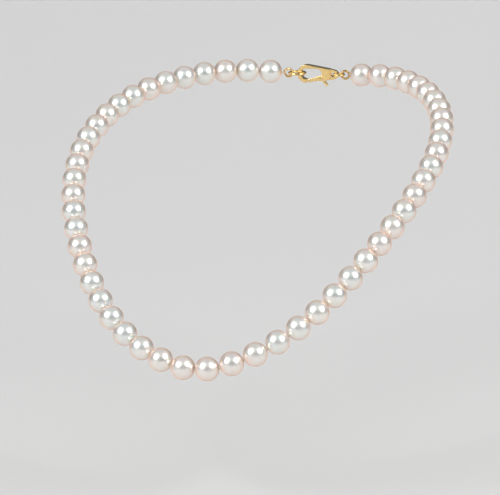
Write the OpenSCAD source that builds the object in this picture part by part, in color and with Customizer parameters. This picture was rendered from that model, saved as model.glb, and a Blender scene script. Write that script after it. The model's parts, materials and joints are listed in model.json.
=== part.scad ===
// Single-strand pearl necklace, draped as it lies on a bust.
//
// Origin at the nape, midway between the two ends of the strand, where the clasp rests.
// The strand runs forward (-Y) over the collar bones and down to the chest. +Z is up.
// It is symmetric about X = 0 apart from the clasp. The wearer's left is +X.

/* [Strand] */
// Diameter of each pearl
pearl_d = 7.5; // [6.5:0.1:8]
// Distance from one knot to the next, which leaves a narrow gap between pearls
pitch = 7.75; // [7.7:0.01:7.9]
// Diameter of the hole drilled through each pearl
drill_d = 0.8; // [0.7:0.05:0.9]
// Diameter of the chamfer at each mouth of the hole
mouth_d = 1.3; // [1.2:0.05:1.5]
// Depth of that chamfer, measured from the top of the pearl
mouth_depth = 0.45; // [0.4:0.05:0.6]

/* [Thread] */
// Diameter of the silk thread
thread_d = 0.6; // [0.4:0.05:0.6]
// Diameter of each knot
knot_d = 1; // [0.8:0.05:1]
// Length of each knot
knot_len = 0.9; // [0.7:0.05:0.9]

/* [Clasp] */
// Thickness of the clasp's body
clasp_t = 2.4; // [2.2:0.1:2.6]
// Radius of the hook's outer curve
hook_r = 3; // [2.9:0.05:3.2]
// Thickness of the hook's wall
hook_wall = 1.2; // [1:0.05:1.3]
// Radius of the eye at the clasp's other end
eye_r = 1.6; // [1.5:0.05:1.7]
// Radius of the hole in the eye
eye_hole_r = 0.75; // [0.7:0.05:0.8]
// Width of the slot that holds the lever and its spring
slot_t = 1.4; // [1.35:0.05:1.45]
// Thickness of the lever
lever_t = 0.7; // [0.6:0.05:0.7]
// Radius of the lever's pin
pin_r = 0.3; // [0.25:0.05:0.3]
// Running gap between the lever and its pin
pin_gap = 0.06; // [0.05:0.01:0.1]

/* [Rings] */
// Radius of the clasp's jump ring, to the middle of the wire
jump_ring_r = 1.7; // [1.6:0.05:1.8]
// Wire radius of the jump ring
jump_wire_r = 0.35; // [0.3:0.05:0.35]
// Radius of the catch ring, to the middle of the wire
catch_ring_r = 2.6; // [2.6:0.05:2.9]
// Wire radius of the catch ring
catch_wire_r = 0.45; // [0.4:0.05:0.45]
// Radius of each bullion loop, to the middle of the coil
bullion_r = 1.3; // [1.3:0.05:1.5]
// Radius of the bullion coil
bullion_wire_r = 0.4; // [0.35:0.05:0.4]

/* [Hidden] */
// Pearls on each side of the middle knot, and how many of them lie fixed at the nape
SIDE_PEARLS = 27;
NAPE_PEARLS = 3;
FREE_PEARLS = SIDE_PEARLS - NAPE_PEARLS;

// The way each pearl's drilled axis points, counted from the pearl beside the middle knot:
// its heading turns from +X (0) to the back (+Y, 90) and round to the nape, and its climb is
// the slope up from the chest. A pearl between two entries takes a value between theirs.
HEADING = [[0, 5], [1, 15.5], [4, 40], [6, 52], [9, 65], [14, 87], [20, 117], [24, 139], [26, 162]];
CLIMB = [[0, 8], [1, 18], [3, 28], [6, 35], [8, 34], [14, 21.5], [21, 6], [26, -6]];

function heading(i) = lookup(i, HEADING);
function climb(i) = lookup(i, CLIMB);
function drilled_axis(i) = [
    cos(heading(i)) * cos(climb(i)),
    sin(heading(i)) * cos(climb(i)),
    sin(climb(i))
];

// Knots from the middle of the strand to its end, first with the middle knot at zero
function walked_knots() = [
    for (i = 0, p = [0, 0, 0]; i <= SIDE_PEARLS; p = p + pitch * drilled_axis(i), i = i + 1) p
];
walked = walked_knots();
last_knot = walked[SIDE_PEARLS];
knots = [for (p = walked) p - [0, last_knot.y, last_knot.z]];
strand_end_x = last_knot.x;

function pearl_centre(i) = (knots[i] + knots[i + 1]) / 2;

// The clasp's chain of rings, each placed from the one before. u runs from the eye to the hook,
// which is along -X, and w is up. Each ring hangs this far clear of the loop that it passes through.
SLACK = 0.1;
bullion_hole_r = bullion_r - bullion_wire_r;
// From the eye back to the bullion loop that the jump ring carries
jump_bullion_u = -2 * jump_ring_r - (bullion_hole_r - jump_wire_r - SLACK);
// The end knot bears on the loop's outer side, and bites into it by this much
KNOT_BITE = 0.03;
knot_touch = bullion_r + bullion_wire_r + knot_len / 2 - KNOT_BITE;
eye_x = strand_end_x + jump_bullion_u - knot_touch;
// The catch ring hangs on the last loop of the other side
catch_far_u = eye_x + strand_end_x - knot_touch - (bullion_hole_r - catch_wire_r - SLACK);
catch_near_u = catch_far_u - 2 * catch_ring_r;
// The hook's opening holds the catch ring's wire with this much room at its end
CATCH_ROOM = 0.65;
opening_r = hook_r - hook_wall;
hook_u = catch_near_u + catch_wire_r + CATCH_ROOM - opening_r;
// The eye is thinned to this half thickness, from its rounded end to just past its hole
EYE_HALF_T = 0.7;
EYE_STEP = 0.3;
// How far each cut runs past the outside
CUT_PAST = 1;

// The lever: where it pivots, where its tip closes the mouth, and its thumb tab
PIVOT = [3.6, -1.1];
HUB_R = 0.85;
TIP_R = 0.5;
TIP_GAP = 0.2;
TIP_W = -2.35;
MOUTH_START_U = 4.7;
MOUTH_TOP_W = -1.2;
LIP_SETBACK = 0.2;
lip_u = hook_u - LIP_SETBACK;
tip_u = lip_u - TIP_GAP - TIP_R;
TAB_ROOT = [3.2, -2.5];
TAB_END = [2.3, -3.5];
TAB_R = 0.45;
SLOT_START_U = 1.8;
SLOT_TOP_W = -0.2;

// The lever runs against one wall of its slot with a small gap, and the torsion spring sits on
// the pin beside it
LEVER_GAP = 0.05;
SPRING_WIRE_R = 0.12;
SPRING_R = 0.55;
SPRING_PITCH = 0.28;
SPRING_START = 0.22;
SPRING_TURNS = 1;
SPRING_STEP = 30;
SPRING_LEG = 1.3;
lever_y = -(slot_t - lever_t) / 2 + LEVER_GAP;

// Smoothness of pearls, of fine round parts and of ring sections
PEARL_FN = 96;
FINE_FN = 48;
THREAD_SIDES = 8;
EPS = 0.01;

function two_digits(i) = str(i < 10 ? "0" : "", i);
function pearl_name(side, i) = str("pearl_", side, "_", two_digits(i + 1));
SIDES = [["left", 0], ["right", 1]];

// One pearl about the origin, drilled along Z and chamfered at both mouths
module drilled_pearl() {
    color("#f2e9dc")
    difference() {
        sphere(d = pearl_d, $fn = PEARL_FN);
        cylinder(d = drill_d, h = pearl_d + CUT_PAST, center = true, $fn = FINE_FN);
        for (end = [0, 1])
            mirror([0, 0, end])
            translate([0, 0, pearl_d / 2 - mouth_depth])
            cylinder(d1 = drill_d, d2 = mouth_d, h = mouth_depth + EPS, $fn = FINE_FN);
    }
}

// Pearl i of one side, its hole along the strand
module strung_pearl(side_mirror, i) {
    mirror([side_mirror, 0, 0])
    translate(pearl_centre(i))
    rotate([0, 90 - climb(i), heading(i)])
    drilled_pearl();
}

module nape_pearls(side_mirror) {
    for (i = [FREE_PEARLS : SIDE_PEARLS - 1])
        strung_pearl(side_mirror, i);
}

// The thread is one sweep from end to end, thick at each knot and thin inside each pearl.
// A ring of points about p, square to the direction d
function ring_points(p, d, r) =
    let (
        side = cross(d, [0, 0, 1]) / norm(cross(d, [0, 0, 1])),
        up = cross(side, d)
    )
    [for (s = [0 : THREAD_SIDES - 1]) p + r * (cos(s * 360 / THREAD_SIDES) * side
        + sin(s * 360 / THREAD_SIDES) * up)];

function unit(v) = v / norm(v);
function flip_x(v) = [-v.x, v.y, v.z];

// All the knots and the drilled axes from the right end, through the middle, to the left end
all_knots = concat(
    [for (i = [SIDE_PEARLS : -1 : 1]) flip_x(knots[i])],
    knots
);
all_axes = [for (i = [0 : len(all_knots) - 2]) unit(all_knots[i + 1] - all_knots[i])];

// Each knot has a thin ring before it, a thick ring and a thin ring after it
function knot_rings(k) =
    let (
        before = all_axes[max(k - 1, 0)],
        after = all_axes[min(k, len(all_axes) - 1)],
        mid = unit(before + after)
    )
    concat(
        ring_points(all_knots[k] - before * knot_len / 2, before, thread_d / 2),
        ring_points(all_knots[k], mid, knot_d / 2),
        ring_points(all_knots[k] + after * knot_len / 2, after, thread_d / 2)
    );

// Skins rings of points, THREAD_SIDES to a ring, into one closed tube
module swept_wire(points, ring_count) {
    sides = [
        for (r = [0 : ring_count - 2]) for (s = [0 : THREAD_SIDES - 1])
            let (
                a = r * THREAD_SIDES + s,
                b = r * THREAD_SIDES + (s + 1) % THREAD_SIDES
            )
            [a, b, b + THREAD_SIDES, a + THREAD_SIDES]
    ];
    first_cap = [for (s = [THREAD_SIDES - 1 : -1 : 0]) s];
    last_cap = [for (s = [0 : THREAD_SIDES - 1]) (ring_count - 1) * THREAD_SIDES + s];
    polyhedron(points = points, faces = concat([first_cap], sides, [last_cap]), convexity = 10);
}

module knotted_silk_thread() {
    color("#efe6cf")
    swept_wire([for (k = [0 : len(all_knots) - 1]) each knot_rings(k)], 3 * len(all_knots));
}

// A closed ring of round wire about Z
module wire_ring(ring_r, wire_r) {
    rotate_extrude($fn = FINE_FN)
    translate([ring_r, 0])
    circle(r = wire_r, $fn = FINE_FN);
}

// A loop of fine coiled wire in the XZ plane, that guards the thread where it holds a ring
module bullion_loop(x) {
    color("#c9a24e")
    translate([x, 0, 0])
    rotate([90, 0, 0])
    wire_ring(bullion_r, bullion_wire_r);
}

// Puts a flat clasp drawing into place: u along -X from the eye, w up, thickness along Y
module on_clasp(y = 0) {
    translate([eye_x, y, 0])
    mirror([1, 0, 0])
    rotate([90, 0, 0])
    children();
}

module clasp_jump_ring() {
    color("#d4af5a")
    translate([eye_x + jump_ring_r, 0, 0])
    wire_ring(jump_ring_r, jump_wire_r);
}

module catch_ring() {
    color("#d4af5a")
    translate([eye_x - catch_near_u - catch_ring_r, 0, 0])
    wire_ring(catch_ring_r, catch_wire_r);
}

// The claw's outline: an eye at one end and a wide hook at the other
module claw_outline() {
    hull() {
        circle(r = eye_r, $fn = FINE_FN);
        translate([hook_u, 0])
        circle(r = hook_r, $fn = FINE_FN);
    }
}

// The opening inside the hook, and the mouth that the lever closes
module claw_opening() {
    hull()
    for (u = [MOUTH_START_U + opening_r / 2, hook_u])
        translate([u, 0])
        circle(r = opening_r, $fn = FINE_FN);
    translate([MOUTH_START_U, -hook_r - CUT_PAST])
    square([lip_u - MOUTH_START_U, hook_r + CUT_PAST + MOUTH_TOP_W]);
}

module clasp_body() {
    color("#d4af5a")
    on_clasp()
    difference() {
        linear_extrude(clasp_t, center = true)
        difference() {
            claw_outline();
            claw_opening();
            circle(r = eye_hole_r, $fn = FINE_FN);
        }
        // The eye is thinned on both faces so that the jump ring passes
        for (face = [0, 1])
            mirror([0, 0, face])
            translate([-eye_r - CUT_PAST, -eye_r - CUT_PAST, EYE_HALF_T])
            cube([eye_r + CUT_PAST + eye_hole_r + EYE_STEP, 2 * (eye_r + CUT_PAST), clasp_t]);
        // The slot for the lever and its spring, open below
        translate([SLOT_START_U, -hook_r - CUT_PAST, -slot_t / 2])
        cube([MOUTH_START_U - SLOT_START_U + EPS, hook_r + CUT_PAST + SLOT_TOP_W, slot_t]);
        translate([PIVOT.x, PIVOT.y, 0])
        cylinder(r = pin_r, h = clasp_t + CUT_PAST, center = true, $fn = FINE_FN);
    }
}

module clasp_lever() {
    color("#caa24c")
    on_clasp(lever_y)
    linear_extrude(lever_t, center = true)
    difference() {
        union() {
            hull() {
                translate(PIVOT)
                circle(r = HUB_R, $fn = FINE_FN);
                translate([tip_u, TIP_W])
                circle(r = TIP_R, $fn = FINE_FN);
            }
            hull() {
                translate(TAB_ROOT)
                circle(r = TAB_R, $fn = FINE_FN);
                translate(TAB_END)
                circle(r = TAB_R, $fn = FINE_FN);
            }
            translate([PIVOT.x - HUB_R, TAB_ROOT.y])
            square([HUB_R, PIVOT.y - TAB_ROOT.y]);
        }
        translate(PIVOT)
        circle(r = pin_r + pin_gap, $fn = FINE_FN);
    }
}

module clasp_lever_pin() {
    color("#b98f3d")
    on_clasp()
    translate([PIVOT.x, PIVOT.y, 0])
    cylinder(r = pin_r, h = clasp_t, center = true, $fn = FINE_FN);
}

// Open turns about the pin, with one leg towards the eye and one along the lever
function spring_point(a) = [
    SPRING_R * sin(a),
    SPRING_R * cos(a),
    -SPRING_START - SPRING_PITCH * a / 360
];

module clasp_lever_spring() {
    last_angle = 360 * SPRING_TURNS;
    turns = [for (a = [0 : SPRING_STEP : last_angle]) spring_point(a)];
    first_leg = spring_point(0) - [SPRING_LEG, 0, 0];
    last_leg = spring_point(last_angle) + [SPRING_LEG, 0, 0];
    route = concat([first_leg], turns, [last_leg]);
    color("#c8c8cc")
    on_clasp()
    translate([PIVOT.x, PIVOT.y, 0])
    swept_wire(
        [for (k = [0 : len(route) - 1]) each ring_points(
            route[k],
            unit(route[min(k + 1, len(route) - 1)] - route[max(k - 1, 0)]),
            SPRING_WIRE_R
        )],
        len(route)
    );
}

for (side = SIDES)
    for (i = [0 : FREE_PEARLS - 1])
        strung_pearl(side[1], i);
nape_pearls(0);  // nape_pearls_left
nape_pearls(1);  // nape_pearls_right
knotted_silk_thread();
bullion_loop(strand_end_x - knot_touch);  // bullion_loop_left
bullion_loop(knot_touch - strand_end_x);  // bullion_loop_right
clasp_jump_ring();
clasp_body();
clasp_lever();
clasp_lever_pin();
clasp_lever_spring();
catch_ring();
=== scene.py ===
"""Finished look of a single-strand pearl necklace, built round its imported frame."""

import json
import logging
import math
from dataclasses import dataclass, field
from enum import Enum
from typing import Any

import bmesh
import bpy
from mathutils import Matrix, Vector, noise


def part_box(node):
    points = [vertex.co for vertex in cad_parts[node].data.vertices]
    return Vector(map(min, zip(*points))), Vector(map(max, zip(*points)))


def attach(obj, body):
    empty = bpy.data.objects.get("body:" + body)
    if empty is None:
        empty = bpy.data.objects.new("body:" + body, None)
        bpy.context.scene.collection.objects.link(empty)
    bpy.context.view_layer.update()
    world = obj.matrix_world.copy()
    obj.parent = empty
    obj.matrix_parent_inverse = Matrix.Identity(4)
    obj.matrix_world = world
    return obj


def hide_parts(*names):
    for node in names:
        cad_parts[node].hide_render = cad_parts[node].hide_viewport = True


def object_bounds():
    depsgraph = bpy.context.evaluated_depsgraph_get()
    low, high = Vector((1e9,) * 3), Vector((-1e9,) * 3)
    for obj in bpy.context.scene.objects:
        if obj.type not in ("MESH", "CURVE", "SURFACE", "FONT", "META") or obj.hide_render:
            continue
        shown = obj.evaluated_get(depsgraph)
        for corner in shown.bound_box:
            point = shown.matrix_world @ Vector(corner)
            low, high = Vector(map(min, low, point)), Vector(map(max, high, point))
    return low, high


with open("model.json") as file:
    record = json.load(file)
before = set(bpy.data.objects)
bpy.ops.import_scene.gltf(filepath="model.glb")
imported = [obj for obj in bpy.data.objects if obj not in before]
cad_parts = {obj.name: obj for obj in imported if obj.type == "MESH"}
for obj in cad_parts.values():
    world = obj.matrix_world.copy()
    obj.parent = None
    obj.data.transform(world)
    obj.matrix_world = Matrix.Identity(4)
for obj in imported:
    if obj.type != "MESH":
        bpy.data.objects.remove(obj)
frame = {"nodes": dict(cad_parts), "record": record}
CAD_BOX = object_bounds()

log = logging.getLogger("necklace")

MM = 0.001
WELD = MM * 1e-3
UP = Vector((0.0, 0.0, 1.0))


class Side(Enum):
    """The wearer's two sides, as the frame's nodes name them."""

    LEFT = "left"
    RIGHT = "right"


# ---------------------------------------------------------------- shader maths


class Value:
    """A shader socket that takes part in Python arithmetic."""

    def __init__(self, graph: "Graph", socket: bpy.types.NodeSocket) -> None:
        """Wraps one output socket.

        Args:
            graph: The graph that the socket belongs to.
            socket: The output socket.
        """
        self.graph = graph
        self.socket = socket

    def _maths(self, operation: str, first: Any, second: Any) -> "Value":
        """Adds one Math node.

        Args:
            operation: The Math node's operation.
            first: Its first value or link.
            second: Its second value or link.

        Returns:
            The node's result.
        """
        return self.graph.node("ShaderNodeMath", {"operation": operation}, {0: first, 1: second})

    def __add__(self, other: Any) -> "Value":
        """Sum of this and another."""
        return self._maths("ADD", self, other)

    def __radd__(self, other: Any) -> "Value":
        """Sum of another and this."""
        return self._maths("ADD", other, self)

    def __mul__(self, other: Any) -> "Value":
        """Product of this and another."""
        return self._maths("MULTIPLY", self, other)

    def __rmul__(self, other: Any) -> "Value":
        """Product of another and this."""
        return self._maths("MULTIPLY", other, self)

    def power(self, exponent: float) -> "Value":
        """This raised to a power."""
        return self._maths("POWER", self, exponent)


class Graph:
    """The node tree of one material."""

    def __init__(self, name: str) -> None:
        """Starts an empty material.

        Args:
            name: The material's name.
        """
        self.material = bpy.data.materials.new(name)
        self.material.use_nodes = True
        self.tree = self.material.node_tree
        self.tree.nodes.clear()

    def node(
        self, kind: str, settings: dict[str, Any], inputs: dict[Any, Any], out: Any = 0
    ) -> Value:
        """Adds any node.

        Args:
            kind: The node's type name.
            settings: Properties set before the sockets; "stops" fills a colour ramp.
            inputs: Values or links by socket name or number.
            out: Which output to return, by name or number.

        Returns:
            The chosen output.
        """
        made = self.tree.nodes.new(kind)
        for name, value in settings.items():
            if name == "stops":
                self._fill_ramp(made, value)
            else:
                setattr(made, name, value)
        for name, value in inputs.items():
            if isinstance(value, Value):
                self.tree.links.new(value.socket, made.inputs[name])
            else:
                made.inputs[name].default_value = value
        return Value(self, made.outputs[out])

    @staticmethod
    def _fill_ramp(made: bpy.types.Node, stops: list[tuple[float, Any]]) -> None:
        """Sets a colour ramp's stops.

        Args:
            made: The ramp node.
            stops: Pairs of position and colour, in order.
        """
        elements = made.color_ramp.elements
        while len(elements) < len(stops):
            elements.new(1.0)
        for element, (position, colour) in zip(elements, stops):
            element.position = position
            element.color = colour

    def position(self) -> Value:
        """Object coordinates, which are the frame's own."""
        return self.node("ShaderNodeTexCoord", {}, {}, "Object")

    def noise(self, scale: float, detail: float = 2.0, roughness: float = 0.5) -> Value:
        """Smooth noise over the object.

        Args:
            scale: Waves to the metre.
            detail: How many finer layers are added.
            roughness: How strong the finer layers are.

        Returns:
            A value about 0.5.
        """
        inputs = {
            "Vector": self.position(), "Scale": scale, "Detail": detail, "Roughness": roughness,
        }
        return self.node("ShaderNodeTexNoise", {}, inputs, "Fac")

    def ramp(self, factor: Value, stops: list[tuple[float, Any]]) -> Value:
        """Maps a value to colours or greys.

        Args:
            factor: The value to map.
            stops: Pairs of position and colour.

        Returns:
            The colour.
        """
        return self.node("ShaderNodeValToRGB", {"stops": stops}, {"Fac": factor}, "Color")

    def blend(self, factor: Any, first: Any, second: Any) -> Value:
        """Mixes two colours.

        Args:
            factor: 0 for the first, 1 for the second.
            first: The first colour.
            second: The second colour.

        Returns:
            The mixed colour.
        """
        colours = {0: factor, 6: first, 7: second}
        return self.node("ShaderNodeMix", {"data_type": "RGBA"}, colours, 2)

    def bump(self, height: Value, strength: float, distance: float) -> Value:
        """A bumped normal.

        Args:
            height: The height map.
            strength: From 0 to 1.
            distance: Full height in metres.

        Returns:
            The normal.
        """
        inputs = {"Height": height, "Strength": strength, "Distance": distance}
        return self.node("ShaderNodeBump", {}, inputs, "Normal")

    def finish(
        self, inputs: dict[str, Any], settings: dict[str, Any] | None = None
    ) -> bpy.types.Material:
        """Ends the graph with one Principled shader.

        Args:
            inputs: The shader's sockets.
            settings: The shader's own properties.

        Returns:
            The material.
        """
        surface = self.node("ShaderNodeBsdfPrincipled", settings or {}, inputs, "BSDF")
        output = self.tree.nodes.new("ShaderNodeOutputMaterial")
        self.tree.links.new(surface.socket, output.inputs["Surface"])
        return self.material


Colour = tuple[float, float, float, float]


@dataclass(frozen=True)
class Nacre:
    """Cultured pearl nacre: cream body, rose and silver-green overtones, high lustre."""

    body: Colour = (0.945, 0.95, 0.90, 1.0)
    rose: Colour = (0.96, 0.915, 0.875, 1.0)
    silver: Colour = (0.89, 0.95, 0.925, 1.0)
    edge_tint: Colour = (1.0, 0.55, 0.42, 1.0)
    rim_sheen: Colour = (1.0, 0.60, 0.40, 1.0)
    roughness: float = 0.28
    roughness_spread: float = 0.1
    pearl_waves: float = 70.0
    cloud_waves: float = 260.0
    skin_waves: float = 900.0
    skin_depth: float = 0.025 * MM
    cloud_share: float = 0.2

    def material(self) -> bpy.types.Material:
        """Builds the shader.

        Returns:
            The material.
        """
        graph = Graph("nacre")
        overtones = [(0.36, self.silver), (0.5, self.body), (0.64, self.rose)]
        by_pearl = graph.ramp(graph.noise(self.pearl_waves, detail=0.0), overtones)
        soft = [(0.35, self.silver), (0.65, self.rose)]
        clouds = graph.ramp(graph.noise(self.cloud_waves, detail=2.0), soft)
        haze = graph.noise(self.cloud_waves, detail=1.0)
        skin = graph.noise(self.skin_waves, detail=3.0, roughness=0.55)
        return graph.finish(
            {
                "Base Color": graph.blend(self.cloud_share, by_pearl, clouds),
                "Metallic": 0.8,
                "Roughness": self.roughness + self.roughness_spread * haze,
                "IOR": 1.6,
                "Specular Tint": self.edge_tint,
                "Subsurface Weight": 0.35,
                "Subsurface Radius": (1.0, 0.6, 0.35),
                "Subsurface Scale": 1.0 * MM,
                "Coat Weight": 0.35,
                "Coat Roughness": 0.16,
                "Coat IOR": 1.5,
                "Sheen Weight": 0.9,
                "Sheen Roughness": 0.55,
                "Sheen Tint": self.rim_sheen,
                "Normal": graph.bump(skin, strength=0.3, distance=self.skin_depth),
            }
        )


@dataclass(frozen=True)
class Silk:
    """Cream silk thread, twisted from fine filaments."""

    light: Colour = (0.98, 0.93, 0.80, 1.0)
    dark: Colour = (0.92, 0.83, 0.66, 1.0)
    sheen: Colour = (1.0, 0.92, 0.78, 1.0)
    fibre_waves: float = 6000.0
    fibre_depth: float = 0.04 * MM

    def material(self) -> bpy.types.Material:
        """Builds the shader.

        Returns:
            The material.
        """
        graph = Graph("silk")
        fibres = graph.noise(self.fibre_waves, detail=3.0, roughness=0.7)
        colour = graph.ramp(fibres, [(0.35, self.dark), (0.62, self.light)])
        return graph.finish(
            {
                "Base Color": colour,
                "Roughness": 0.62,
                "Sheen Weight": 0.25,
                "Sheen Roughness": 0.35,
                "Sheen Tint": self.sheen,
                "Normal": graph.bump(fibres, strength=0.6, distance=self.fibre_depth),
            }
        )


@dataclass(frozen=True)
class Gold:
    """Yellow gold, polished or lightly worn."""

    name: str
    colour: Colour = (0.94, 0.68, 0.30, 1.0)
    worn: Colour = (0.88, 0.62, 0.27, 1.0)
    roughness: float = 0.1
    worn_roughness: float = 0.16
    scratch_waves: float = 900.0
    scratch_depth: float = 0.02 * MM

    def material(self) -> bpy.types.Material:
        """Builds the shader.

        Returns:
            The material.
        """
        graph = Graph(self.name)
        wear = graph.noise(self.scratch_waves, detail=4.0, roughness=0.65)
        colour = graph.ramp(wear, [(0.40, self.worn), (0.60, self.colour)])
        rough = self.roughness + self.worn_roughness * wear.power(2.0)
        return graph.finish(
            {
                "Base Color": colour,
                "Metallic": 1.0,
                "Roughness": rough,
                "Normal": graph.bump(wear, strength=0.06, distance=self.scratch_depth),
            }
        )


@dataclass(frozen=True)
class SpringSteel:
    """Drawn steel wire."""

    colour: Colour = (0.62, 0.62, 0.64, 1.0)
    drawn_dark: Colour = (0.42, 0.42, 0.44, 1.0)
    drawn_waves: float = 2500.0
    roughness: float = 0.2
    roughness_spread: float = 0.2

    def material(self) -> bpy.types.Material:
        """Builds the shader.

        Returns:
            The material.
        """
        graph = Graph("spring_steel")
        drawn = graph.noise(self.drawn_waves, detail=3.0)
        colour = graph.ramp(drawn, [(0.3, self.drawn_dark), (0.7, self.colour)])
        rough = self.roughness + self.roughness_spread * drawn
        return graph.finish({"Base Color": colour, "Metallic": 1.0, "Roughness": rough})


@dataclass(frozen=True)
class Paper:
    """The plain pale floor."""

    colour: Colour = (0.70, 0.683, 0.672, 1.0)

    def material(self) -> bpy.types.Material:
        """Builds the shader.

        Returns:
            The material.
        """
        graph = Graph("pale_floor")
        return graph.finish({"Base Color": self.colour, "Roughness": 0.8})


# ---------------------------------------------------------------- mesh helpers


def turn_to(axis: Vector) -> Matrix:
    """The turn that takes +Z to an axis.

    Args:
        axis: Where +Z ends up.

    Returns:
        A 4 by 4 rotation.
    """
    return UP.rotation_difference(axis.normalized()).to_matrix().to_4x4()


def lathe(outline: list[tuple[float, float]], steps: int, closed: bool) -> bmesh.types.BMesh:
    """Spins an outline about Z.

    Args:
        outline: Points as radius and height, in order.
        steps: Faces round a full turn.
        closed: Whether the last point joins the first.

    Returns:
        The turned shape.
    """
    shape = bmesh.new()
    points = [shape.verts.new((radius, 0.0, height)) for radius, height in outline]
    pairs = list(zip(points, points[1:]))
    if closed:
        pairs.append((points[-1], points[0]))
    edges = [shape.edges.new(pair) for pair in pairs]
    bmesh.ops.spin(
        shape, geom=points + edges, cent=(0, 0, 0), axis=(0, 0, 1), angle=math.tau, steps=steps,
        use_merge=True,
    )
    bmesh.ops.remove_doubles(shape, verts=shape.verts, dist=WELD)
    bmesh.ops.recalc_face_normals(shape, faces=shape.faces)
    return shape


def ring_section(radius: float, offset: float, sides: int) -> bmesh.types.BMesh:
    """A circle in the XZ plane, set off along X, ready to be spun about Z.

    Args:
        radius: The circle's radius.
        offset: Its distance from the Z axis.
        sides: Its number of sides.

    Returns:
        The circle's edges.
    """
    shape = bmesh.new()
    bmesh.ops.create_circle(shape, cap_ends=False, segments=sides, radius=radius)
    place = Matrix.Translation((offset, 0, 0)) @ Matrix.Rotation(math.pi / 2, 4, "X")
    bmesh.ops.transform(shape, matrix=place, verts=shape.verts)
    return shape


def piece(
    name: str,
    shape: bmesh.types.BMesh,
    material: bpy.types.Material,
    body: str,
    sharp: float = 40.0,
) -> bpy.types.Object:
    """Makes an object of a finished shape and lets it ride.

    Args:
        name: The piece's name.
        shape: The shape, already in place; it is freed.
        material: Its finish.
        body: The body that it moves with.
        sharp: Edges bent more than this many degrees stay crisp.

    Returns:
        The object.
    """
    mesh = bpy.data.meshes.new(name)
    for face in shape.faces:
        face.smooth = True
    shape.to_mesh(mesh)
    shape.free()
    mesh.set_sharp_from_angle(angle=math.radians(sharp))
    mesh.materials.append(material)
    made = bpy.data.objects.new(name, mesh)
    bpy.context.scene.collection.objects.link(made)
    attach(made, body)
    log.info("%s: %d faces on %s", name, len(mesh.polygons), body)
    return made


def corners(node: str) -> tuple[Vector, Vector]:
    """The lowest and highest corners of a node's box."""
    low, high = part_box(node)
    return Vector(low), Vector(high)


def middle(node: str) -> Vector:
    """The middle of a node's box."""
    low, high = corners(node)
    return (low + high) / 2


def solid_middles(node: str) -> list[Vector]:
    """The middles of a node's separate solids.

    Args:
        node: The node's name.

    Returns:
        One point for each solid.
    """
    shape = bmesh.new()
    shape.from_mesh(frame["nodes"][node].data)
    bmesh.ops.remove_doubles(shape, verts=shape.verts, dist=WELD)
    left = set(shape.verts)
    found = []
    while left:
        edge = [left.pop()]
        low = edge[0].co.copy()
        high = low.copy()
        while edge:
            vert = edge.pop()
            for k in range(3):
                low[k] = min(low[k], vert.co[k])
                high[k] = max(high[k], vert.co[k])
            near = {link.other_vert(vert) for link in vert.link_edges} & left
            left -= near
            edge.extend(near)
        found.append((low + high) / 2)
    shape.free()
    return found


def body_of(node: str) -> str:
    """The body that carries a node.

    Args:
        node: The node's name.

    Returns:
        The body's name.
    """
    bodies = frame["record"]["behaviour"]["bodies"]
    return next(body for body, held in bodies.items() if node in held)


# ---------------------------------------------------------------- the strand


@dataclass
class Strand:
    """Where the knots and the pearls of both sides are, read from the frame."""

    middle_knot: Vector = field(default_factory=Vector)
    knots: dict[Side, list[Vector]] = field(default_factory=dict)
    nodes: dict[Side, list[str]] = field(default_factory=dict)

    def __post_init__(self) -> None:
        """Walks each side from the middle knot through the middles of its pearls."""
        mounts = {mount["name"]: mount for mount in frame["record"]["mounts"]}
        self.middle_knot = Vector(mounts["front_drop"]["pos_m"])
        for side in Side:
            mark = f"pearl_{side.value}_"
            own = sorted(name for name in frame["nodes"] if name.startswith(mark))
            nape = f"nape_pearls_{side.value}"
            rest = sorted(solid_middles(nape), key=lambda point: -abs(point.x))
            centres = [middle(name) for name in own] + rest
            self.nodes[side] = own + [nape] * len(rest)
            self.knots[side] = self._walk(centres)

    def _walk(self, centres: list[Vector]) -> list[Vector]:
        """Finds the knots, because each pearl lies midway between its two.

        Args:
            centres: The pearls' middles, from the middle knot outwards.

        Returns:
            The knots, one more than the pearls.
        """
        knots = [self.middle_knot]
        for centre in centres:
            knots.append(2 * centre - knots[-1])
        return knots


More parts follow.
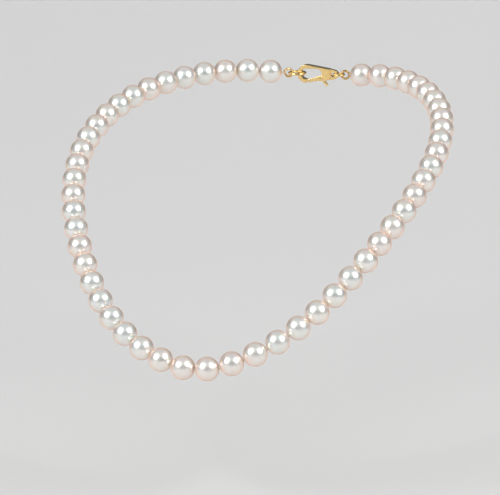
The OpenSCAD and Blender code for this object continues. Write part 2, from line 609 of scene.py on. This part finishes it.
@dataclass
class Pearls:
    """The drilled pearls, each turned from its own outline."""

    strand: Strand
    finish: bpy.types.Material
    radius: float = 3.75 * MM
    hole_radius: float = 0.4 * MM
    mouth_radius: float = 0.62 * MM
    chamfer: float = 0.3 * MM
    size_spread: float = 0.004
    off_round: float = 0.006
    dimple: float = 0.012 * MM
    batch: int = 7
    ripple_waves: float = 420.0
    spin_step: float = 2.4
    whim_step: float = 3.7
    whim_place: tuple[float, float] = (1.3, 0.5)
    ripple_step: float = 5.1
    latitudes: int = 46
    steps: int = 72
    crisp_angle: float = 50.0

    def outline(self) -> list[tuple[float, float]]:
        """The pearl's half section: the drilled hole, its chamfers and the round skin.

        Returns:
            Points as radius and height.
        """
        start = math.asin(self.mouth_radius / self.radius)
        skin = []
        for k in range(self.latitudes + 1):
            angle = start + (math.pi - 2 * start) * k / self.latitudes
            skin.append((self.radius * math.sin(angle), self.radius * math.cos(angle)))
        inner = skin[0][1] - self.chamfer
        hole = [(self.hole_radius, -inner), (self.hole_radius, 0.0), (self.hole_radius, inner)]
        return skin + hole

    def shape(
        self, turned: bmesh.types.BMesh, centre: Vector, axis: Vector, seed: int
    ) -> bmesh.types.BMesh:
        """One pearl in its place, a little off round as real ones are.

        Args:
            turned: The true round pearl that it starts from.
            centre: Its middle.
            axis: The way its hole runs.
            seed: Which pearl it is.

        Returns:
            The pearl.
        """
        shape = turned.copy()
        spin = Matrix.Rotation(seed * self.spin_step, 4, "Z")
        bmesh.ops.transform(shape, matrix=spin, verts=shape.verts)
        whim = noise.noise_vector(Vector((seed * self.whim_step, *self.whim_place)))
        stretch = [1 - self.off_round * abs(part) for part in whim]
        grow = 1 - self.size_spread * abs(whim.x + whim.y)
        shift = Vector((seed * self.ripple_step, 0, 0))
        for vert in shape.verts:
            ripple = noise.noise(vert.co * self.ripple_waves + shift)
            swell = 1 + ripple * self.dimple / self.radius
            vert.co = Vector(part * by * grow * swell for part, by in zip(vert.co, stretch))
        place = Matrix.Translation(centre) @ turn_to(axis)
        bmesh.ops.transform(shape, matrix=place, verts=shape.verts)
        return shape

    def build(self) -> None:
        """Makes every pearl of both sides, the same ones on every run."""
        # without a seed, the vector noise takes its offsets from the clock
        noise.seed_set(self.batch)
        turned = lathe(self.outline(), self.steps, closed=True)
        for side in Side:
            knots = self.strand.knots[side]
            for k, (inner, outer) in enumerate(zip(knots, knots[1:])):
                seed = 2 * k + (side is Side.RIGHT)
                shape = self.shape(turned, (inner + outer) / 2, outer - inner, seed)
                name = f"nacre_{side.value}_{k + 1:02d}"
                node = self.strand.nodes[side][k]
                body = body_of(node)
                made = piece(name, shape, self.finish, body, self.crisp_angle)
                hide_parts(node)
        turned.free()


@dataclass
class SilkThread:
    """The knotted thread, cut at each pearl so that it follows the strand's bends."""

    strand: Strand
    finish: bpy.types.Material
    thread_radius: float = 0.28 * MM
    knot_radius: float = 0.52 * MM
    knot_half: float = 0.42 * MM
    wraps: int = 5
    ply_depth: float = 0.1
    twist: float = 4.0
    meridians: int = 40
    rings: int = 18
    sides: int = 12

    def knot(self, at: Vector, axis: Vector) -> bmesh.types.BMesh:
        """One tight knot with the thread's wraps on it.

        Args:
            at: The knot's middle.
            axis: The way the thread runs.

        Returns:
            The knot.
        """
        shape = bmesh.new()
        bmesh.ops.create_uvsphere(
            shape, u_segments=self.meridians, v_segments=self.rings, radius=1.0
        )
        for vert in shape.verts:
            around = math.atan2(vert.co.y, vert.co.x)
            ridge = 1 + self.ply_depth * math.cos(self.wraps * around + self.twist * vert.co.z)
            vert.co.x *= self.knot_radius * ridge
            vert.co.y *= self.knot_radius * ridge
            vert.co.z *= self.knot_half
        place = Matrix.Translation(at) @ turn_to(axis)
        bmesh.ops.transform(shape, matrix=place, verts=shape.verts)
        return shape

    def run(self, start: Vector, end: Vector) -> bmesh.types.BMesh:
        """The thread between two knots.

        Args:
            start: The first knot.
            end: The second knot.

        Returns:
            The thread.
        """
        shape = bmesh.new()
        bmesh.ops.create_cone(
            shape, cap_ends=True, segments=self.sides, radius1=self.thread_radius,
            radius2=self.thread_radius, depth=(end - start).length,
        )
        place = Matrix.Translation((start + end) / 2) @ turn_to(end - start)
        bmesh.ops.transform(shape, matrix=place, verts=shape.verts)
        return shape

    def build(self) -> None:
        """Makes the middle knot, then the thread through each pearl with the knot beyond it."""
        across = Vector((1.0, 0.0, 0.0))
        first = self.knot(self.strand.middle_knot, across)
        innermost = body_of(self.strand.nodes[Side.LEFT][0])
        made = piece("silk_middle_knot", first, self.finish, innermost)
        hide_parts("knotted_silk_thread")
        for side in Side:
            knots = self.strand.knots[side]
            for k, (inner, outer) in enumerate(zip(knots, knots[1:])):
                shape = self.run(inner, outer)
                self._join(shape, self.knot(outer, outer - inner))
                name = f"silk_{side.value}_{k + 1:02d}"
                body = body_of(self.strand.nodes[side][k])
                made = piece(name, shape, self.finish, body)
                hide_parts("knotted_silk_thread")

    @staticmethod
    def _join(shape: bmesh.types.BMesh, other: bmesh.types.BMesh) -> None:
        """Adds one shape to another.

        Args:
            shape: The shape that grows.
            other: The shape that is added and freed.
        """
        carrier = bpy.data.meshes.new("carrier")
        other.to_mesh(carrier)
        other.free()
        shape.from_mesh(carrier)
        bpy.data.meshes.remove(carrier)


# ---------------------------------------------------------------- the clasp and its rings


@dataclass
class EndFittings:
    """The bullion loops and the two rings."""

    gold: bpy.types.Material
    bullion: bpy.types.Material
    coil_wire: float = 0.075 * MM
    coil_sides: int = 7
    coil_turns: int = 46
    coil_steps: int = 14
    coil_cover: float = 0.97
    ring_sides: int = 20
    ring_steps: int = 72
    ring_cut: float = 0.05 * MM
    cut_turn: float = 50.0

    def bullion_shape(self, node: str) -> bmesh.types.BMesh:
        """A loop of fine coiled wire, its ends meeting at the knot.

        Args:
            node: The loop's node.

        Returns:
            The coil, bent into a loop.
        """
        low, high = corners(node)
        coil_radius = (high.y - low.y) / 2
        loop_radius = (high.x - low.x) / 2 - coil_radius
        centre = (low + high) / 2
        length = math.tau * loop_radius * self.coil_cover
        shape = ring_section(self.coil_wire, coil_radius - self.coil_wire, self.coil_sides)
        steps = self.coil_turns * self.coil_steps
        bmesh.ops.spin(
            shape, geom=list(shape.verts) + list(shape.edges), cent=(0, 0, 0), axis=(0, 0, 1),
            dvec=(0, 0, length / steps), angle=math.tau * self.coil_turns, steps=steps,
        )
        bmesh.ops.holes_fill(shape, edges=[edge for edge in shape.edges if edge.is_boundary])
        outward = 1.0 if centre.x > 0 else -1.0
        for vert in shape.verts:
            around = (vert.co.z / length - 0.5) * math.tau * self.coil_cover
            reach = loop_radius + vert.co.x
            across = -outward * reach * math.cos(around)
            vert.co = centre + Vector((across, vert.co.y, reach * math.sin(around)))
        bmesh.ops.recalc_face_normals(shape, faces=shape.faces)
        return shape

    def ring_shape(self, node: str, cut: bool) -> bmesh.types.BMesh:
        """A round wire ring in the XY plane.

        Args:
            node: The ring's node.
            cut: Whether its two ends only butt together.

        Returns:
            The ring.
        """
        low, high = corners(node)
        wire = (high.z - low.z) / 2
        radius = (high.x - low.x) / 2 - wire
        shape = ring_section(wire, radius, self.ring_sides)
        gap = self.ring_cut / radius if cut else 0.0
        bmesh.ops.spin(
            shape, geom=list(shape.verts) + list(shape.edges), cent=(0, 0, 0), axis=(0, 0, 1),
            angle=math.tau - gap, steps=self.ring_steps, use_merge=not cut,
        )
        if cut:
            bmesh.ops.holes_fill(shape, edges=[edge for edge in shape.edges if edge.is_boundary])
        bmesh.ops.remove_doubles(shape, verts=shape.verts, dist=WELD / 10)
        bmesh.ops.recalc_face_normals(shape, faces=shape.faces)
        turn = Matrix.Rotation(math.radians(self.cut_turn), 4, "Z")
        place = Matrix.Translation((low + high) / 2) @ turn
        bmesh.ops.transform(shape, matrix=place, verts=shape.verts)
        return shape

    def build(self) -> None:
        """Makes both loops and both rings."""
        for side in Side:
            node = f"bullion_loop_{side.value}"
            coil = self.bullion_shape(node)
            made = piece(f"bullion_coil_{side.value}", coil, self.bullion, "nape")
            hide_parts(node)
        for node, cut in (("clasp_jump_ring", True), ("catch_ring", False)):
            made = piece(f"{node}_wire", self.ring_shape(node, cut), self.gold, node)
            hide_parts(node)


@dataclass
class LeverClasp:
    """The clasp: cast body and lever, riveted pin and its spring."""

    gold: bpy.types.Material
    satin: bpy.types.Material
    steel: bpy.types.Material
    grain: float = 0.07 * MM
    polish_passes: int = 14
    polish_share: float = 0.5
    rivet_proud: float = 0.14 * MM
    rivet_spread: float = 1.35
    rivet_neck: float = 0.02 * MM
    dome_points: int = 6
    rivet_steps: int = 28

    def cast(self, node: str) -> bmesh.types.BMesh:
        """A copy of a node's shape with its edges polished round, as on a casting.

        The wax is worked at a thousand times its size, because the remesher's finest
        grain is coarser than the clasp needs.

        Args:
            node: The node.

        Returns:
            The polished shape.
        """
        rough = bmesh.new()
        rough.from_mesh(frame["nodes"][node].data)
        bmesh.ops.remove_doubles(rough, verts=rough.verts, dist=WELD)
        bmesh.ops.scale(rough, vec=(1 / MM, 1 / MM, 1 / MM), verts=rough.verts)
        mesh = bpy.data.meshes.new("wax")
        rough.to_mesh(mesh)
        rough.free()
        wax = bpy.data.objects.new("wax", mesh)
        bpy.context.scene.collection.objects.link(wax)
        skin = wax.modifiers.new("skin", "REMESH")
        skin.mode = "VOXEL"
        skin.voxel_size = self.grain / MM
        polish = wax.modifiers.new("polish", "SMOOTH")
        polish.factor = self.polish_share
        polish.iterations = self.polish_passes
        finished = wax.evaluated_get(bpy.context.evaluated_depsgraph_get())
        polished = bpy.data.meshes.new_from_object(finished)
        bpy.data.objects.remove(wax)
        bpy.data.meshes.remove(mesh)
        shape = bmesh.new()
        shape.from_mesh(polished)
        bpy.data.meshes.remove(polished)
        bmesh.ops.scale(shape, vec=(MM, MM, MM), verts=shape.verts)
        return shape

    def rivet(self) -> bmesh.types.BMesh:
        """The lever's pin with a low dome at each end.

        Returns:
            The pin, along Y.
        """
        low, high = corners("clasp_lever_pin")
        radius = (high.x - low.x) / 2
        half = (high.y - low.y) / 2
        top = []
        for k in range(self.dome_points):
            angle = math.pi / 2 * k / (self.dome_points - 1)
            across = self.rivet_spread * radius * math.sin(angle)
            top.append((across, half + self.rivet_proud * math.cos(angle)))
        outline = top + [(radius, half - self.rivet_neck)]
        outline += [(across, -height) for across, height in reversed(outline)]
        shape = lathe(outline, self.rivet_steps, closed=False)
        place = Matrix.Translation((low + high) / 2) @ Matrix.Rotation(math.pi / 2, 4, "X")
        bmesh.ops.transform(shape, matrix=place, verts=shape.verts)
        return shape

    def build(self) -> None:
        """Makes the clasp's pieces and dresses its spring."""
        claw = piece("clasp_claw", self.cast("clasp_body"), self.gold, "nape")
        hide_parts("clasp_body")
        thumb = self.cast("clasp_lever")
        lever = piece("clasp_thumb_lever", thumb, self.satin, "clasp_lever")
        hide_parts("clasp_lever")
        pin = piece("clasp_rivet", self.rivet(), self.satin, "nape")
        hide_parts("clasp_lever_pin")
        spring = frame["nodes"]["clasp_lever_spring"]
        spring.data.materials.clear()
        spring.data.materials.append(self.steel)


# ---------------------------------------------------------------- the studio


@dataclass(frozen=True)
class Lamp:
    """One soft rectangular light: its size in metres, its power in watts."""

    name: str
    place: Vector
    back: Vector
    size: tuple[float, float]
    power: float

    def hang(self) -> None:
        """Adds the light, facing away from its back."""
        data = bpy.data.lights.new(self.name, "AREA")
        data.shape = "RECTANGLE"
        data.size, data.size_y = self.size
        data.energy = self.power
        made = bpy.data.objects.new(self.name, data)
        made.rotation_euler = self.back.to_track_quat("Z", "Y").to_euler()
        made.location = self.place
        bpy.context.scene.collection.objects.link(made)


@dataclass
class Studio:
    """The floor, the soft lights and the camera; angles in degrees, the lens in mm."""

    aim: Vector
    azimuth: float = 16.5
    elevation: float = 14.5
    roll: float = -0.8
    distance: float = 1.55
    lens: float = 367.5
    sensor: float = 36.0
    nearest: float = 0.05
    farthest: float = 20.0
    aim_right: float = 17.4 * MM
    aim_up: float = 37.0 * MM
    floor_drop: float = 40 * MM
    floor_half: float = 4.0
    softbox_reach: float = 2.2
    ceiling_height: float = 3.0
    ceiling_side: float = 8.0
    room: Colour = (0.8, 0.93, 1.0, 1.0)
    room_strength: float = 0.18

    def axes(self) -> tuple[Vector, Vector, Vector]:
        """The view's right, up and back directions.

        Returns:
            Three unit vectors.
        """
        turn, lift = math.radians(self.azimuth), math.radians(self.elevation)
        level = math.cos(lift)
        back = Vector((math.sin(turn) * level, -math.cos(turn) * level, math.sin(lift)))
        right = UP.cross(back).normalized()
        return right, back.cross(right), back

    def camera(self) -> None:
        """Sets the camera that looks at the strand from the front and a little to one side."""
        right, up, back = self.axes()
        eye = self.aim + back * self.distance
        target = self.aim + right * self.aim_right + up * self.aim_up
        back = (eye - target).normalized()
        right = UP.cross(back).normalized()
        up = back.cross(right)
        lean = math.radians(self.roll)
        tilted_right = right * math.cos(lean) + up * math.sin(lean)
        tilted_up = up * math.cos(lean) - right * math.sin(lean)
        data = bpy.data.cameras.new("camera")
        data.lens = self.lens
        data.sensor_width = self.sensor
        data.clip_start = self.nearest
        data.clip_end = self.farthest
        made = bpy.data.objects.new("camera", data)
        made.matrix_world = Matrix((tilted_right, tilted_up, back)).transposed().to_4x4()
        made.matrix_world.translation = eye
        bpy.context.scene.collection.objects.link(made)
        bpy.context.scene.camera = made

    def softbox(
        self, name: str, way: tuple[float, float, float], size: tuple[float, float], power: float
    ) -> Lamp:
        """A light that faces the strand.

        Args:
            name: The light's name.
            way: Its direction from the strand, as right, up and back in the view.
            size: Its width and height.
            power: Its power in watts.

        Returns:
            The light, not yet hung.
        """
        right, up, back = self.axes()
        towards = (right * way[0] + up * way[1] + back * way[2]).normalized()
        centre = self.aim + up * self.aim_up
        return Lamp(name, centre + towards * self.softbox_reach, towards, size, power)

    def lights(self) -> None:
        """Hangs a softbox on each side of the camera, a light over the floor and a ceiling."""
        over_floor = self.aim + Vector((0.0, 0.9, 1.1))
        overhead = self.aim + UP * self.ceiling_height
        ceiling = (self.ceiling_side, self.ceiling_side)
        for lamp in (
            self.softbox("left_softbox", (-0.68, 0.45, 0.58), (1.25, 1.35), 35.0),
            self.softbox("right_softbox", (0.68, 0.47, 0.56), (1.15, 1.25), 28.0),
            Lamp("floor_light", over_floor, Vector((0.0, -0.75, 0.66)), (2.4, 0.5), 8.0),
            Lamp("ceiling", overhead, UP, ceiling, 54.0),
        ):
            lamp.hang()

    def floor(self) -> None:
        """Lays the plain floor under the strand."""
        shape = bmesh.new()
        bmesh.ops.create_grid(shape, x_segments=1, y_segments=1, size=self.floor_half)
        below = CAD_BOX[0][2] - self.floor_drop
        bmesh.ops.translate(shape, vec=(0, 0, below), verts=shape.verts)
        mesh = bpy.data.meshes.new("floor")
        shape.to_mesh(mesh)
        shape.free()
        mesh.materials.append(Paper().material())
        made = bpy.data.objects.new("floor", mesh)
        bpy.context.scene.collection.objects.link(made)

    def build(self) -> None:
        """Makes the floor, the lights, the room's own light and the camera."""
        self.floor()
        self.lights()
        world = bpy.data.worlds.new("room")
        world.use_nodes = True
        background = world.node_tree.nodes["Background"].inputs
        background["Color"].default_value = self.room
        background["Strength"].default_value = self.room_strength
        bpy.context.scene.world = world
        bpy.context.scene.view_settings.view_transform = "Standard"
        self.camera()


def main() -> None:
    """Builds the necklace and its studio."""
    logging.basicConfig(level=logging.INFO, format="%(name)s: %(message)s")
    strand = Strand()
    gold = Gold("polished_gold").material()
    satin = Gold("satin_gold", roughness=0.22).material()
    coil_colour = (0.90, 0.66, 0.32, 1.0)
    bullion = Gold("bullion_gold", colour=coil_colour, roughness=0.2).material()
    Pearls(strand, Nacre().material()).build()
    SilkThread(strand, Silk().material()).build()
    EndFittings(gold, bullion).build()
    LeverClasp(gold, satin, SpringSteel().material()).build()
    Studio(strand.middle_knot).build()


if __name__ == "__main__":
    main()
